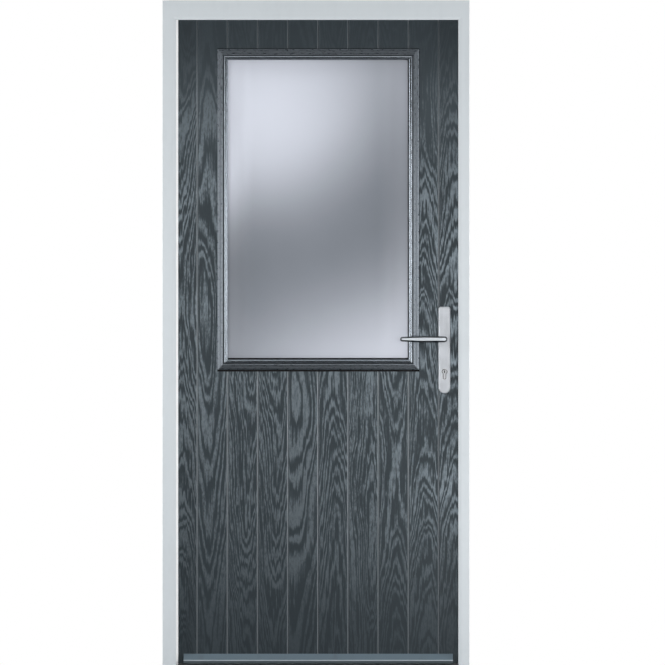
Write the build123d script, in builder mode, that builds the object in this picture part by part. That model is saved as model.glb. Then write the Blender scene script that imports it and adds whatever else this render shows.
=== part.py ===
"""Half-glazed composite fire door set: rebated frame, hinged leaf and lever furniture."""

import os

from build123d import *

os.makedirs("parts", exist_ok=True)

# Frame, in millimetres; x runs from the hinge side to the lock side, y into the room, z up
frame_width = 964
frame_height = 2100
frame_depth = 70
hinge_face = 42
lock_face = 35
head_face = 61
stop_depth = 21
stop_lap = 7
bevel_width = 9.5
bevel_drop = 1.6
arris_r = 1.5

# Gaps round the leaf
leaf_gap = 7
floor_gap = 5
seal_clear = 0.4

# Threshold
threshold_height = 12
threshold_nose = 5
threshold_ramp = 14
threshold_tail = 12
tread_ribs = 4
tread_pitch = 4
tread_width = 1.6
tread_depth = 0.8

# Leaf
leaf_thick = 44
skin_thick = 3.5
hinge_stile_width = 60
lock_stile_width = 80
bottom_rail_height = 120
groove_count = 9
groove_pitch = 94.8
groove_width = 6
groove_depth = 2.4

# Seals and fire strips
seal_width = 9
seal_lip = 7
tongue_width = 3
tongue_depth = 4
strip_width = 12
strip_thick = 2
strip_set = 3
sill_seal_width = 8

# Glazing
cassette_width = 633
cassette_height = 1007
cassette_from_top = 99.5
cassette_lap = 16
band_width = 17.5
band_rise = 10
band_bevel = 2
edge_rise = 6
quirk_width = 3
quirk_drop = 7
bead_width = 11
bead_rise = 13
bead_drop = 3.5
bead_toe = 0.5
spigot_clear = 1
pane_thick = 6
unit_thick = 26
pane_clear = 4
spacer_width = 9
spacer_set = 3

# Weather bar
bar_inset = 17
bar_height = 30
bar_reach = 21
bar_nose = 3
bar_lip = 8
bar_wall = 2.4
bar_round = 1

# Lever furniture
backset = 50
spindle_z = 1035.5
cylinder_drop = 102
plate_width = 37
plate_above = 102
plate_below = 171
plate_thick = 10
plate_corner = 7
plate_edge = 2
collar_r = 13
collar_rise = 2.5
neck_r = 8.5
neck_fit = 0.4
spindle_size = 8
spindle_length = 96
follower_size = 20
grip_out = 51
grip_length = 140
grip_heel_r = 8.8
grip_belly_r = 9.4
grip_tip_r = 7.4
grip_thick = 12
grip_bevel = 4.5
grip_bevel_back = 6.5
grip_ease = 2

# Cylinder lock
euro_r = 8.5
euro_foot_r = 5
euro_height = 33
euro_clear = 0.9
euro_proud = 3
plug_r = 6.5
plug_length = 26
key_width = 2.8
key_height = 8
key_depth = 9

# Lock edge
faceplate_width = 20
faceplate_thick = 3
faceplate_inset = 143
bolt_width = 12
bolt_clear = 0.5
bolt_length = 26
latch_rise = 40
latch_height = 22
dead_drop = 60
dead_height = 32
hook_height = 46
hook_inset = 167
latch_proud = 1
latch_bevel = 4
keep_width = 20
keep_thick = 3
keep_margin = 34
keep_pocket = 9

# Hinges
hinge_height = 102
hinge_leaf = 30
hinge_thick = 3
hinge_corner = 8
knuckle_r = 7
knuckle_count = 3
knuckle_gap = 0.4
pin_r = 4
pin_fit = 0.08
knuckle_clear = 0.5
hinge_from_top = 200
hinge_from_bottom = 250

# Frame fixings
fixing_r = 4
fixing_count = 4
fixing_end = 480
fixing_y = 18

# Planes and edges that several pieces share
front_y = -frame_depth / 2
back_y = frame_depth / 2
left_x = -frame_width / 2
right_x = frame_width / 2
stop_back_y = front_y + stop_depth
leaf_back_y = back_y
leaf_front_y = back_y - leaf_thick
leaf_mid_y = (leaf_front_y + leaf_back_y) / 2
hinge_stop_x = left_x + hinge_face
lock_stop_x = right_x - lock_face
head_stop_z = frame_height - head_face
rebate_u = stop_lap + leaf_gap
hinge_rebate_x = hinge_stop_x - rebate_u
lock_rebate_x = lock_stop_x + rebate_u
head_rebate_z = head_stop_z + rebate_u
leaf_left = hinge_stop_x - stop_lap
leaf_right = lock_stop_x + stop_lap
leaf_top = head_stop_z + stop_lap
leaf_bottom = threshold_height + floor_gap
leaf_width = leaf_right - leaf_left
leaf_height = leaf_top - leaf_bottom
leaf_mid_x = (leaf_left + leaf_right) / 2
leaf_mid_z = (leaf_bottom + leaf_top) / 2
core_front_y = leaf_front_y + skin_thick
core_back_y = leaf_back_y - skin_thick
sight_left = hinge_stop_x + seal_lip
sight_mid_x = (sight_left + lock_stop_x) / 2
bar_length = lock_stop_x - sight_left - 2 * bar_inset
cassette_mid_z = leaf_top - cassette_from_top - cassette_height / 2
aperture_width = cassette_width - 2 * cassette_lap
aperture_height = cassette_height - 2 * cassette_lap
cassette_face = band_width + quirk_width + bead_width + bead_toe
seal_thick = leaf_front_y - stop_back_y - seal_clear
spindle_x = leaf_right - backset
cylinder_z = spindle_z - cylinder_drop
strip_y = stop_back_y + strip_set + strip_width / 2
pin_x = (leaf_left + hinge_rebate_x) / 2
pin_y = back_y + knuckle_r + knuckle_clear
hinge_low = leaf_bottom + hinge_from_bottom
hinge_high = leaf_top - hinge_from_top
hinge_zs = (hinge_low, (hinge_low + hinge_high) / 2, hinge_high)
hinge_mid_y = back_y - hinge_leaf / 2
faceplate_length = leaf_height - 2 * faceplate_inset
hook_low = leaf_bottom + faceplate_inset + hook_inset
hook_high = leaf_top - faceplate_inset - hook_inset
knuckle_pitch = hinge_height / knuckle_count

# Upright planes of the two faces of the leaf, x to the lock side and y up, each facing off the leaf
outside_face = Plane(origin=(0, leaf_front_y, 0), x_dir=(1, 0, 0), z_dir=(0, -1, 0))
inside_face = Plane(origin=(0, leaf_back_y, 0), x_dir=(-1, 0, 0), z_dir=(0, 1, 0))
# Lengthwise plane: local x into the room and local y up
cross_section = Plane(origin=(0, 0, 0), x_dir=(0, 1, 0), z_dir=(1, 0, 0))


def save(piece, name):
    """Labels one finished piece and writes its file."""
    piece.label = name
    export_step(piece, f"parts/{name}.step")


def block(x0, x1, y0, y1, z0, z1):
    """A plain rectangular piece between two corners."""
    with BuildPart() as piece:
        with Locations(((x0 + x1) / 2, (y0 + y1) / 2, (z0 + z1) / 2)):
            Box(x1 - x0, y1 - y0, z1 - z0)
    return piece.part


def side(plane):
    """The direction a face's local x takes in the room: 1 outside and -1 inside."""
    return 1 if plane.x_dir.X > 0 else -1


# Frame: one rebated section, three lengths, mitred at the inner corners


def frame_section(face):
    """Section of a frame member; x runs outward from the edge of the stop and y into the room."""
    with BuildSketch() as section:
        with BuildLine():
            Polyline(
                (face, front_y),
                (bevel_width, front_y),
                (0, front_y + bevel_drop),
                (0, stop_back_y),
                (rebate_u, stop_back_y),
                (rebate_u, back_y),
                (face, back_y),
                close=True,
            )
        make_face()
        fillet(section.vertices().group_by(Axis.Y)[0], arris_r)
        fillet(section.vertices().group_by(Axis.X)[0].sort_by(Axis.Y)[0], arris_r)
        with Locations((seal_width / 2, stop_back_y - tongue_depth / 2)):
            Rectangle(tongue_width, tongue_depth, mode=Mode.SUBTRACT)
        with Locations((rebate_u + strip_thick / 2, strip_y)):
            Rectangle(strip_thick, strip_width, mode=Mode.SUBTRACT)
    return section.sketch


def wall_holes(x, facing, web):
    """Cuts the row of screw holes in one jamb, from its outer face to the rebate."""
    pitch = (frame_height - 2 * fixing_end) / (fixing_count - 1)
    wall = Plane(origin=(x, fixing_y, frame_height / 2), x_dir=(0, 0, 1), z_dir=(facing, 0, 0))
    with BuildSketch(wall) as holes:
        with GridLocations(pitch, 0, fixing_count, 1):
            Circle(fixing_r)
    extrude(holes.sketch, amount=-web, mode=Mode.SUBTRACT)


def hinge_plate(x, mode):
    """Adds or cuts the three hinge plates whose faces lie on one upright plane, going toward +X."""
    for z in hinge_zs:
        face = Plane(origin=(x, hinge_mid_y, z), x_dir=(0, 1, 0), z_dir=(1, 0, 0))
        extrude(plate_outline(face), amount=hinge_thick, mode=mode)


def plate_outline(face):
    """Outline of one hinge plate, round at the two corners away from the knuckles."""
    with BuildSketch(face) as outline:
        Rectangle(hinge_leaf, hinge_height)
        fillet(outline.vertices().group_by(Axis.Y)[0], hinge_corner)
    return outline.sketch


hinge_mitre = Plane(origin=(hinge_stop_x, 0, head_stop_z), z_dir=(1, 0, 1))
lock_mitre = Plane(origin=(lock_stop_x, 0, head_stop_z), z_dir=(-1, 0, 1))

with BuildPart() as hinge_jamb:
    with BuildSketch(Plane(origin=(hinge_stop_x, 0, 0), x_dir=(-1, 0, 0), z_dir=(0, 0, -1))):
        add(frame_section(hinge_face))
    extrude(amount=-frame_height)
    split(bisect_by=hinge_mitre, keep=Keep.BOTTOM)
    hinge_plate(hinge_rebate_x - hinge_thick, Mode.SUBTRACT)
    wall_holes(left_x, -1, hinge_face - rebate_u)
save(hinge_jamb.part, "hinge_jamb")

keep_centres = (
    (spindle_z + (latch_rise - dead_drop) / 2, latch_rise + dead_drop + dead_height + keep_margin),
    (hook_low, hook_height + 2 * keep_margin),
    (hook_high, hook_height + 2 * keep_margin),
)
bolt_windows = (
    (spindle_z + latch_rise, latch_height),
    (spindle_z - dead_drop, dead_height),
    (hook_low, hook_height),
    (hook_high, hook_height),
)

with BuildPart() as lock_jamb:
    with BuildSketch(Plane(origin=(lock_stop_x, 0, 0), x_dir=(1, 0, 0), z_dir=(0, 0, 1))):
        add(frame_section(lock_face))
    extrude(amount=frame_height)
    split(bisect_by=lock_mitre, keep=Keep.BOTTOM)
    for z, tall in keep_centres:
        with Locations((lock_rebate_x + keep_thick / 2, leaf_mid_y, z)):
            Box(keep_thick, keep_width, tall, mode=Mode.SUBTRACT)
    for z, tall in bolt_windows:
        with Locations((lock_rebate_x + keep_thick + keep_pocket / 2, leaf_mid_y, z)):
            Box(keep_pocket, bolt_width + 2 * bolt_clear, tall + 2 * bolt_clear, mode=Mode.SUBTRACT)
    wall_holes(right_x, 1, lock_face - rebate_u)
save(lock_jamb.part, "lock_jamb")

with BuildPart() as head:
    with BuildSketch(Plane(origin=(0, 0, head_stop_z), x_dir=(0, 0, 1), z_dir=(-1, 0, 0))):
        add(frame_section(head_face))
    extrude(amount=frame_width / 2, both=True)
    split(bisect_by=hinge_mitre, keep=Keep.TOP)
    split(bisect_by=lock_mitre, keep=Keep.TOP)
save(head.part, "head")

# Threshold: ramped bar let in between the jambs and scribed round their stops
with BuildPart() as threshold:
    with BuildSketch(cross_section.offset(hinge_rebate_x)):
        with BuildLine():
            Polyline(
                (front_y, 0),
                (front_y, threshold_nose),
                (front_y + threshold_ramp, threshold_height),
                (back_y - threshold_tail, threshold_height),
                (back_y, threshold_nose),
                (back_y, 0),
                close=True,
            )
        make_face()
        tread_y = leaf_mid_y - sill_seal_width / 2 - tread_ribs * tread_pitch / 2
        with Locations((tread_y, threshold_height - tread_depth / 2)):
            with GridLocations(tread_pitch, 0, tread_ribs, 1):
                Rectangle(tread_width, tread_depth, mode=Mode.SUBTRACT)
    extrude(amount=lock_rebate_x - hinge_rebate_x)
    for x in (hinge_rebate_x + rebate_u / 2, lock_rebate_x - rebate_u / 2):
        with Locations((x, front_y + stop_depth / 2, threshold_height / 2)):
            Box(rebate_u, stop_depth, threshold_height, mode=Mode.SUBTRACT)
save(threshold.part, "threshold")

sill_seal_z = threshold_height + floor_gap - seal_clear
sill_seal = block(
    leaf_left,
    leaf_right,
    leaf_mid_y - sill_seal_width / 2,
    leaf_mid_y + sill_seal_width / 2,
    threshold_height,
    sill_seal_z,
)
save(sill_seal, "threshold_seal")

# Weather seals: a flat wiper held by a tongue in the back of each stop


def seal_section(lip):
    """Section of a weather seal, with a lip that leans out from the edge of the stop."""
    with BuildSketch() as section:
        with Locations(((seal_width - lip) / 2, stop_back_y + seal_thick / 2)):
            Rectangle(seal_width + lip, seal_thick)
        if lip:
            with BuildLine():
                Polyline((0, stop_back_y), (0, stop_back_y - lip), (-lip, stop_back_y), close=True)
            make_face()
        fillet(section.vertices().group_by(Axis.X)[0], seal_thick / 2 - 0.3)
        with Locations((seal_width / 2, stop_back_y - tongue_depth / 2)):
            Rectangle(tongue_width, tongue_depth)
    return section.sketch


with BuildPart() as hinge_seal:
    with BuildSketch(Plane(origin=(hinge_stop_x, 0, threshold_height), x_dir=(-1, 0, 0), z_dir=(0, 0, -1))):
        add(seal_section(seal_lip))
    extrude(amount=-(head_stop_z - threshold_height))
save(hinge_seal.part, "hinge_seal")

with BuildPart() as lock_seal:
    with BuildSketch(Plane(origin=(lock_stop_x, 0, threshold_height), x_dir=(1, 0, 0), z_dir=(0, 0, 1))):
        add(seal_section(0))
    extrude(amount=head_stop_z - threshold_height)
save(lock_seal.part, "lock_seal")

with BuildPart() as head_seal:
    with BuildSketch(Plane(origin=(hinge_stop_x, 0, head_stop_z), x_dir=(0, 0, 1), z_dir=(-1, 0, 0))):
        add(seal_section(0))
    extrude(amount=-(lock_stop_x - hinge_stop_x))
save(head_seal.part, "head_seal")

# Fire strips let flush into the rebate
strip_y0 = strip_y - strip_width / 2
strip_y1 = strip_y + strip_width / 2
hinge_strip = block(
    hinge_rebate_x - strip_thick, hinge_rebate_x, strip_y0, strip_y1, threshold_height, head_rebate_z
)
save(hinge_strip, "hinge_fire_strip")
lock_strip = block(
    lock_rebate_x, lock_rebate_x + strip_thick, strip_y0, strip_y1, threshold_height, head_rebate_z
)
save(lock_strip, "lock_fire_strip")
head_strip = block(
    hinge_rebate_x, lock_rebate_x, strip_y0, strip_y1, head_rebate_z, head_rebate_z + strip_thick
)
save(head_strip, "head_fire_strip")

# Keeps: plates let into the lock jamb with a window for each bolt


def keep_plate(z, tall):
    """One keep plate, windowed for whichever bolts meet it."""
    with BuildPart() as plate:
        with Locations((lock_rebate_x + keep_thick / 2, leaf_mid_y, z)):
            Box(keep_thick, keep_width, tall)
        for window_z, window in bolt_windows:
            with Locations((lock_rebate_x + keep_thick / 2, leaf_mid_y, window_z)):
                Box(
                    keep_thick,
                    bolt_width + 2 * bolt_clear,
                    window + 2 * bolt_clear,
                    mode=Mode.SUBTRACT,
                )
    return plate.part


for keep_name, (keep_z, keep_tall) in zip(("centre_keep", "lower_keep", "upper_keep"), keep_centres):
    save(keep_plate(keep_z, keep_tall), keep_name)

# Hinges: two plates with interleaved knuckles, the pin fast in the half on the frame


def knuckles(z, which):
    """Centre heights of the chosen knuckles of the hinge at one height."""
    return [z - hinge_height / 2 + (number + 0.5) * knuckle_pitch for number in which]


def hinge_half(z, plate_x, which):
    """The plate let into one edge, with the knuckles that belong to it."""
    length = knuckle_pitch - knuckle_gap
    face = Plane(origin=(plate_x, hinge_mid_y, z), x_dir=(0, 1, 0), z_dir=(1, 0, 0))
    with BuildPart() as half:
        extrude(plate_outline(face), amount=hinge_thick)
        for knuckle_z in knuckles(z, which):
            with Locations((plate_x + hinge_thick / 2, (back_y + pin_y) / 2, knuckle_z)):
                Box(hinge_thick, pin_y - back_y, length)
            with Locations((pin_x, pin_y, knuckle_z)):
                Cylinder(knuckle_r, length)
    return half.part


for hinge_name, hinge_z in zip(("bottom", "middle", "top"), hinge_zs):
    with BuildPart() as frame_half:
        add(hinge_half(hinge_z, hinge_rebate_x - hinge_thick, range(0, knuckle_count, 2)))
        with Locations((pin_x, pin_y, hinge_z)):
            Cylinder(pin_r, hinge_height - knuckle_gap)
    save(frame_half.part, f"{hinge_name}_hinge_frame_half")
    with BuildPart() as leaf_half:
        add(hinge_half(hinge_z, leaf_left, range(1, knuckle_count, 2)))
        with Locations((pin_x, pin_y, hinge_z)):
            Cylinder(pin_r + pin_fit, hinge_height, mode=Mode.SUBTRACT)
    save(leaf_half.part, f"{hinge_name}_hinge_leaf_half")

# Leaf core: stiles, rails and infills round the glazed opening
aperture_left = sight_mid_x - aperture_width / 2
aperture_right = sight_mid_x + aperture_width / 2
aperture_bottom = cassette_mid_z - aperture_height / 2
aperture_top = cassette_mid_z + aperture_height / 2
hinge_stile_x = leaf_left + hinge_stile_width
lock_stile_x = leaf_right - lock_stile_width
bottom_rail_z = leaf_bottom + bottom_rail_height


def core(x0, x1, z0, z1):
    """One solid piece of the core, as thick as the space between the skins."""
    return block(x0, x1, core_front_y, core_back_y, z0, z1)


save(core(hinge_stile_x, lock_stile_x, aperture_top, leaf_top), "top_rail")
save(core(hinge_stile_x, lock_stile_x, leaf_bottom, bottom_rail_z), "bottom_rail")
save(core(hinge_stile_x, lock_stile_x, bottom_rail_z, aperture_bottom), "lower_infill")
save(core(hinge_stile_x, aperture_left, aperture_bottom, aperture_top), "hinge_side_infill")
save(core(aperture_right, lock_stile_x, aperture_bottom, aperture_top), "lock_side_infill")

with BuildPart() as hinge_stile:
    add(core(leaf_left, hinge_stile_x, leaf_bottom, leaf_top))
    hinge_plate(leaf_left, Mode.SUBTRACT)
save(hinge_stile.part, "hinge_stile")


def euro_profile(extra):
    """Outline of the lock cylinder with an all-round allowance, about the middle of its plug."""
    foot = euro_height - euro_r - euro_foot_r
    with BuildSketch() as outline:
        Circle(euro_r + extra)
        with Locations((0, -foot / 2)):
            Rectangle(2 * (euro_foot_r + extra), foot)
        with Locations((0, -foot)):
            Circle(euro_foot_r + extra)
    return outline.sketch


def lock_openings(plane, depth):
    """Cuts the ways through for the spindle and the cylinder, from one face of the leaf."""
    with BuildSketch(plane) as openings:
        with Locations((side(plane) * spindle_x, spindle_z)):
            Rectangle(follower_size, follower_size)
        with Locations((side(plane) * spindle_x, cylinder_z + euro_r - euro_height / 2)):
            Rectangle(2 * (euro_r + euro_clear), euro_height + 2 * euro_clear)
    extrude(openings.sketch, amount=-depth, mode=Mode.SUBTRACT)


with BuildPart() as lock_stile:
    add(core(lock_stile_x, leaf_right, leaf_bottom, leaf_top))
    with BuildSketch(Plane(origin=(leaf_right, leaf_mid_y, leaf_mid_z), x_dir=(0, 0, 1), z_dir=(1, 0, 0))):
        SlotOverall(faceplate_length, faceplate_width)
    extrude(amount=-faceplate_thick, mode=Mode.SUBTRACT)
    for z, tall in bolt_windows:
        with Locations((leaf_right - bolt_length / 2, leaf_mid_y, z)):
            Box(bolt_length, bolt_width + 2 * bolt_clear, tall + 2 * bolt_clear, mode=Mode.SUBTRACT)
    lock_openings(outside_face, leaf_thick)
save(lock_stile.part, "lock_stile")

# Skins: grooved sheets with the glazed opening and the lock openings cut through


def skin(plane):
    """One moulded skin of the leaf, its grooves on the face that shows."""
    mid_x = side(plane) * leaf_mid_x
    with BuildPart() as sheet:
        with BuildSketch(plane):
            with Locations((mid_x, leaf_mid_z)):
                Rectangle(leaf_width, leaf_height)
            with Locations((side(plane) * sight_mid_x, cassette_mid_z)):
                Rectangle(aperture_width, aperture_height, mode=Mode.SUBTRACT)
        extrude(amount=-skin_thick)
        foot = Plane(
            origin=(sight_mid_x, plane.origin.Y, leaf_bottom), x_dir=(1, 0, 0), z_dir=(0, 0, 1)
        )
        with BuildSketch(foot):
            with GridLocations(groove_pitch, 1, groove_count, 1):
                Polygon(
                    (-groove_width / 2, 0),
                    (groove_width / 2, 0),
                    (0, side(plane) * groove_depth),
                    align=None,
                )
        extrude(amount=leaf_height, mode=Mode.SUBTRACT)
        lock_openings(plane, skin_thick)
    return sheet.part


save(skin(outside_face), "outer_skin")
with BuildPart() as inner_skin:
    add(skin(inside_face))
    hinge_plate(leaf_left, Mode.SUBTRACT)
save(inner_skin.part, "inner_skin")

# Glazing: two moulded cassettes clamp a sealed unit in the opening
unit_front_y = leaf_mid_y - unit_thick / 2
unit_back_y = leaf_mid_y + unit_thick / 2
cassette_seat = unit_front_y - leaf_front_y


def cassette_section():
    """Moulded section; x runs in from the outer edge and y out from the face of the leaf."""
    bead_start = band_width + quirk_width
    bead_end = bead_start + bead_width
    quirk_floor = band_rise - quirk_drop
    bead_foot = band_rise - bead_drop
    with BuildSketch() as section:
        with BuildLine():
            Polyline(
                (0, 0),
                (0, edge_rise - band_bevel),
                (band_bevel, edge_rise),
                (band_width - band_bevel, band_rise),
                (band_width, band_rise),
                (band_width, quirk_floor),
                (bead_start, quirk_floor),
                (bead_start, bead_foot),
            )
            ThreePointArc(
                (bead_start, bead_foot),
                (bead_start + bead_width / 2, bead_rise),
                (bead_end, bead_foot),
            )
            Polyline(
                (bead_end, bead_foot),
                (cassette_face, bead_foot - bead_toe),
                (cassette_face, -cassette_seat),
                (cassette_lap + spigot_clear, -cassette_seat),
                (cassette_lap + spigot_clear, 0),
                (0, 0),
            )
        make_face()
    return section.sketch


def cassette(plane):
    """One cassette: the moulding run round the opening with mitred corners."""
    mid_x = side(plane) * sight_mid_x
    low = cassette_mid_z - cassette_height / 2
    high = cassette_mid_z + cassette_height / 2
    half = cassette_width / 2
    start = Plane(origin=plane.from_local_coords((mid_x, low, 0)), x_dir=plane.y_dir, z_dir=plane.x_dir)
    with BuildPart() as ring:
        with BuildLine(plane) as run:
            Polyline(
                (mid_x, low),
                (mid_x + half, low),
                (mid_x + half, high),
                (mid_x - half, high),
                (mid_x - half, low),
                close=True,
            )
        with BuildSketch(start) as section:
            add(cassette_section())
        sweep(section.sketch, path=run.wire(), transition=Transition.RIGHT)
    return ring.part


save(cassette(outside_face), "outer_cassette")
save(cassette(inside_face), "inner_cassette")

unit_left = aperture_left + pane_clear
unit_right = aperture_right - pane_clear
unit_bottom = aperture_bottom + pane_clear
unit_top = aperture_top - pane_clear
outer_pane = block(unit_left, unit_right, unit_front_y, unit_front_y + pane_thick, unit_bottom, unit_top)
save(outer_pane, "outer_pane")
inner_pane = block(unit_left, unit_right, unit_back_y - pane_thick, unit_back_y, unit_bottom, unit_top)
save(inner_pane, "inner_pane")

with BuildPart() as pane_spacer:
    spacer_wide = unit_right - unit_left - 2 * spacer_set
    spacer_tall = unit_top - unit_bottom - 2 * spacer_set
    spacer_deep = unit_thick - 2 * pane_thick
    with BuildSketch(outside_face.offset(-(unit_front_y + pane_thick - leaf_front_y))):
        with Locations((sight_mid_x, cassette_mid_z)):
            Rectangle(spacer_wide, spacer_tall)
            Rectangle(spacer_wide - 2 * spacer_width, spacer_tall - 2 * spacer_width, mode=Mode.SUBTRACT)
    extrude(amount=-spacer_deep)
save(pane_spacer.part, "pane_spacer")

# Weather bar: a sloped extrusion, hollow from below and closed at both ends
bar_low = leaf_bottom
bar_top = bar_low + bar_height
bar_lip_z = bar_low + bar_lip
bar_nose_y = leaf_front_y - bar_reach
bar_start = cross_section.offset(sight_mid_x - bar_length / 2)

with BuildPart() as weather_bar:
    with BuildSketch(bar_start) as bar_section:
        with BuildLine():
            Polyline(
                (leaf_front_y, bar_low),
                (leaf_front_y, bar_top),
                (leaf_front_y - bar_wall, bar_top),
                (bar_nose_y, bar_lip_z + bar_nose),
                (bar_nose_y, bar_lip_z),
                (bar_nose_y + bar_wall, bar_low),
                close=True,
            )
        make_face()
        fillet(bar_section.vertices().group_by(Axis.Y)[0], bar_round)
    extrude(amount=bar_length)
    with BuildSketch(bar_start.offset(bar_wall)):
        with BuildLine():
            Polyline(
                (leaf_front_y - bar_wall, bar_low),
                (leaf_front_y - bar_wall, bar_top - 2 * bar_wall),
                (bar_nose_y + bar_wall, bar_lip_z + bar_nose - bar_wall / 2),
                (bar_nose_y + bar_wall, bar_lip_z),
                (bar_nose_y + 2 * bar_wall, bar_low),
                close=True,
            )
        make_face()
    extrude(amount=bar_length - 2 * bar_wall, mode=Mode.SUBTRACT)
save(weather_bar.part, "weather_bar")

# Furniture: long plates, levers on one spindle and the lock cylinder


def back_plate(plane):
    """Long plate, round at the foot, with a collar for the lever and the cylinder outline cut out."""
    with BuildPart() as plate:
        with BuildSketch(plane) as outline:
            with Locations((side(plane) * spindle_x, spindle_z)):
                half = plate_width / 2
                straight = plate_above + plate_below - half
                with Locations((0, plate_above - straight / 2)):
                    Rectangle(plate_width, straight)
                with Locations((0, half - plate_below)):
                    Circle(half)
            fillet(outline.vertices().group_by(Axis.Z)[-1], plate_corner)
        extrude(amount=plate_thick)
        chamfer(plate.faces().sort_by(Axis.Y)[0 if side(plane) > 0 else -1].edges(), plate_edge)
        with BuildSketch(plane.offset(plate_thick)):
            with Locations((side(plane) * spindle_x, spindle_z)):
                Circle(collar_r)
        extrude(amount=collar_rise)
        with BuildSketch(plane):
            with Locations((side(plane) * spindle_x, spindle_z)):
                Circle(neck_r + neck_fit)
            with Locations((side(plane) * spindle_x, cylinder_z)):
                add(euro_profile(euro_clear))
        extrude(amount=plate_thick + collar_rise, mode=Mode.SUBTRACT)
    return plate.part


save(back_plate(outside_face), "outside_plate")
save(back_plate(inside_face), "inside_plate")


def lever(plane):
    """Lever: a round neck through the plate into a slim grip, fullest in the middle, with bevelled edges."""
    pivot = plane.from_local_coords((side(plane) * spindle_x, spindle_z, 0))
    front = Plane(origin=pivot, x_dir=(-1, 0, 0), z_dir=plane.z_dir)
    with BuildPart() as handle:
        with BuildSketch(front.offset(grip_out - grip_thick / 2)):
            Circle(grip_heel_r)
            with Locations((grip_length / 2, 0)):
                Circle(grip_belly_r)
            with Locations((grip_length - grip_tip_r, 0)):
                Circle(grip_tip_r)
            make_hull()
        extrude(amount=grip_thick)
        near, *_, far = handle.faces().filter_by(Axis.Y).sort_by(Axis(pivot, plane.z_dir))
        chamfer(far.edges(), grip_bevel, grip_bevel_back, reference=far)
        chamfer(near.edges(), grip_ease)
        with BuildSketch(front.offset(1)):
            Circle(neck_r)
        extrude(amount=grip_out - 1)
        with BuildSketch(front):
            Rectangle(spindle_size, spindle_size)
        extrude(amount=(spindle_length - leaf_thick) / 2, mode=Mode.SUBTRACT)
    return handle.part


save(lever(outside_face), "outside_lever")
save(lever(inside_face), "inside_lever")

with BuildPart() as spindle:
    with Locations((spindle_x, leaf_mid_y, spindle_z)):
        Box(spindle_size, spindle_length, spindle_size)
save(spindle.part, "spindle")

cylinder_proud = plate_thick + euro_proud
cylinder_length = leaf_thick + 2 * cylinder_proud

with BuildPart() as cylinder_body:
    with BuildSketch(outside_face.offset(cylinder_proud)):
        with Locations((spindle_x, cylinder_z)):
            add(euro_profile(0))
    extrude(amount=-cylinder_length)
    for plane in (outside_face, inside_face):
        with BuildSketch(plane.offset(cylinder_proud)):
            with Locations((side(plane) * spindle_x, cylinder_z)):
                Circle(plug_r)
        extrude(amount=-plug_length, mode=Mode.SUBTRACT)
save(cylinder_body.part, "cylinder_body")

with BuildPart() as cylinder_plugs:
    for plane in (outside_face, inside_face):
        with BuildSketch(plane.offset(cylinder_proud)):
            with Locations((side(plane) * spindle_x, cylinder_z)):
                Circle(plug_r - pin_fit)
        extrude(amount=-plug_length)
        with BuildSketch(plane.offset(cylinder_proud)):
            with Locations((side(plane) * spindle_x, cylinder_z)):
                Rectangle(key_width, key_height)
        extrude(amount=-key_depth, mode=Mode.SUBTRACT)
save(cylinder_plugs.part, "cylinder_plugs")

# Lock edge: a long faceplate windowed for the bolts, which are drawn back
with BuildPart() as lock_faceplate:
    with BuildSketch(Plane(origin=(leaf_right, leaf_mid_y, leaf_mid_z), x_dir=(0, 0, 1), z_dir=(1, 0, 0))):
        SlotOverall(faceplate_length, faceplate_width)
    extrude(amount=-faceplate_thick)
    for z, tall in bolt_windows:
        with Locations((leaf_right - faceplate_thick / 2, leaf_mid_y, z)):
            Box(faceplate_thick, bolt_width + 2 * bolt_clear, tall + 2 * bolt_clear, mode=Mode.SUBTRACT)
save(lock_faceplate.part, "lock_faceplate")

with BuildPart() as lock_bolts:
    for z, tall in bolt_windows:
        proud = latch_proud if tall == latch_height else 0
        with Locations((leaf_right - (bolt_length - proud) / 2, leaf_mid_y, z)):
            Box(bolt_length + proud, bolt_width, tall)
    nose = lock_bolts.edges().filter_by(Axis.Z).group_by(Axis.X)[-1].sort_by(Axis.Y)[0]
    chamfer(nose, latch_bevel)
save(lock_bolts.part, "lock_bolts")
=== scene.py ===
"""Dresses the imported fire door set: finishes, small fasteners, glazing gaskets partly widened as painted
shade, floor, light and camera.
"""

import logging
import math
from abc import ABC, abstractmethod
from dataclasses import dataclass, field, replace
from enum import Enum
from typing import Any, Callable, Iterable, Mapping, NamedTuple, Sequence, Union

import bmesh
import bpy
from mathutils import Matrix, Vector


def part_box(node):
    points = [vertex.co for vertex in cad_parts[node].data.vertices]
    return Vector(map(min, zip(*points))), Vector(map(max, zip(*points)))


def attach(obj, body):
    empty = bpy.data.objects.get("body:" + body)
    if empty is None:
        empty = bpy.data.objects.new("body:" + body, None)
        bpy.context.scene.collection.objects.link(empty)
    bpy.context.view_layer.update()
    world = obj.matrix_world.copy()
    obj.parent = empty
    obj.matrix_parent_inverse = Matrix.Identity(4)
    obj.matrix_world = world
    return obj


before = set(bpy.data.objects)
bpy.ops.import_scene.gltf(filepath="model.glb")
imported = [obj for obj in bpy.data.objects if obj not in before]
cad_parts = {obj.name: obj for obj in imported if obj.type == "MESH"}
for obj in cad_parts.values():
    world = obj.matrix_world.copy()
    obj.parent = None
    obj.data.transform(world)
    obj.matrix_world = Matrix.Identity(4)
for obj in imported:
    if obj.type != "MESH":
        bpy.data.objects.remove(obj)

LOG = logging.getLogger("fire_door")
MM = 0.001
WHITE = (1.0, 1.0, 1.0, 1.0)
# The Mix node's sockets for colours, by number.
MIX_SHARE, MIX_FIRST, MIX_SECOND, MIX_OUT = 0, 6, 7, 2
Colour = tuple[float, float, float]
Point = tuple[float, float, float]
Pair = tuple[float, float]
Widths = tuple[float, ...]
Loop = list[bmesh.types.BMVert]
Number = Union["Sock", float]


class Body(Enum):
    """The bodies that the added pieces ride on."""

    FRAME = "frame"
    LEAF = "leaf"


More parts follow.
